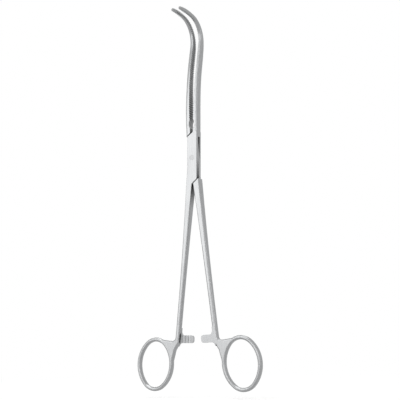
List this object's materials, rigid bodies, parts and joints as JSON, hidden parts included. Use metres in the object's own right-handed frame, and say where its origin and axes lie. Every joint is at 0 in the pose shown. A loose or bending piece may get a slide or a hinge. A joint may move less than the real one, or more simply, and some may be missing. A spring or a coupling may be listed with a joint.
{
  "type": "ligating forceps",
  "caption": "Long ring-handled ligating forceps with a box lock, ratchet arms and slim serrated jaws curved to an S at the tips.",
  "frame": {"origin": "on the lock pin's axis, halfway through the lock's thickness", "axes": "+Z along the instrument towards the tips, +X from the left finger ring to the right one, -Y the way the hooked tips point; the pin's axis runs along Y"},
  "size_m": [0.088, 0.0276, 0.2395],
  "materials": {
    "steel_box_half": "fine satin stainless steel",
    "steel_through_half": "fine satin stainless steel",
    "steel_pin": "stainless pin ground flush with the lock"
  },
  "bodies": {
    "box_half": {"box_half": "steel_box_half", "lock_pin": "steel_pin"},
    "through_half": {"through_half": "steel_through_half"}
  },
  "joints": [
    {"name": "lock_hinge", "type": "hinge", "parent": "box_half", "child": "through_half", "pos_m": [0, 0, 0], "axis": [0, -1, 0], "range_deg": [-2.8, 57.2]}
  ]
}
